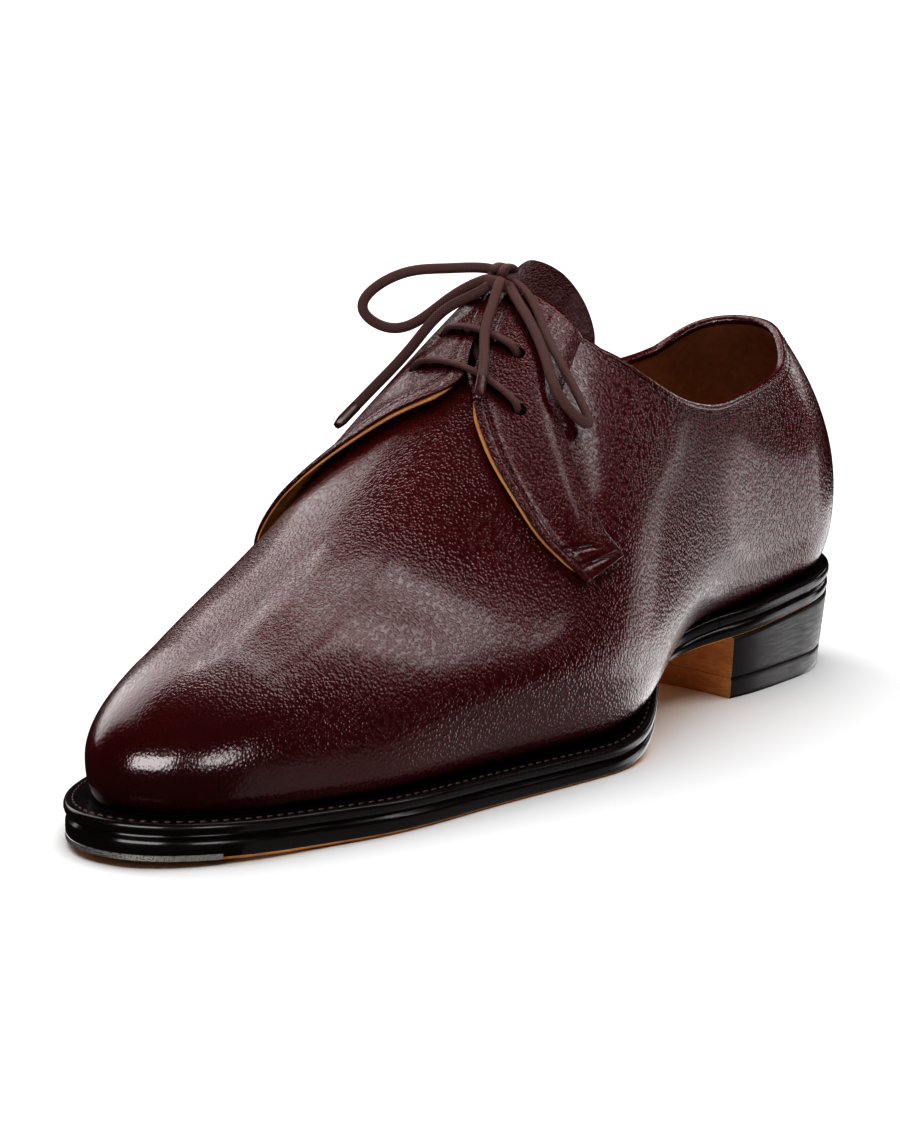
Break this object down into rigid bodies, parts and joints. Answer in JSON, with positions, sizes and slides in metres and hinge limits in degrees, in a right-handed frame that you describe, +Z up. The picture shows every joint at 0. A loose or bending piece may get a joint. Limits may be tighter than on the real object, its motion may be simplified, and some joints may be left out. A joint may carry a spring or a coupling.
{
  "type": "derby shoe",
  "caption": "Left leather derby shoe with a smooth one-piece upper, narrow laced facings, welted leather sole and stacked heel, open at collar and throat for a foot.",
  "frame": {"origin": "middle of the shoe's box on the floor under the sole, measured without the bow", "axes": "+Z up, toe towards -Y, heel towards +Y, outer side of the left shoe towards +X"},
  "size_m": [0.1042, 0.3064, 0.1315],
  "materials": {
    "upper_leather": "polished grained leather, dark burgundy brown",
    "facing_leather": "grained leather, dark burgundy brown",
    "welt_leather": "black polished edge",
    "sole_leather": "black polished edge, natural tan underside",
    "heel_leather": "black polished stacked lifts",
    "tip_rubber": "matt black",
    "toe_metal": "brushed",
    "insole_leather": "natural tan",
    "lace_cord": "waxed round weave"
  },
  "bodies": {
    "root": {"outsole": "sole_leather", "welt": "welt_leather", "heel_rand": "welt_leather", "heel_stack": "heel_leather", "heel_top_piece": "heel_leather", "heel_rubber_tip": "tip_rubber", "toe_plate": "toe_metal", "insole": "insole_leather", "upper": "upper_leather", "tongue": "upper_leather", "facing_outer": "facing_leather", "facing_inner": "facing_leather", "lace_bar_lower": "lace_cord", "lace_bar_upper": "lace_cord", "lace_knot": "lace_cord", "lace_loop_inner": "lace_cord", "lace_loop_outer": "lace_cord", "lace_end_inner": "lace_cord", "lace_end_middle": "lace_cord"}
  },
  "joints": []
}
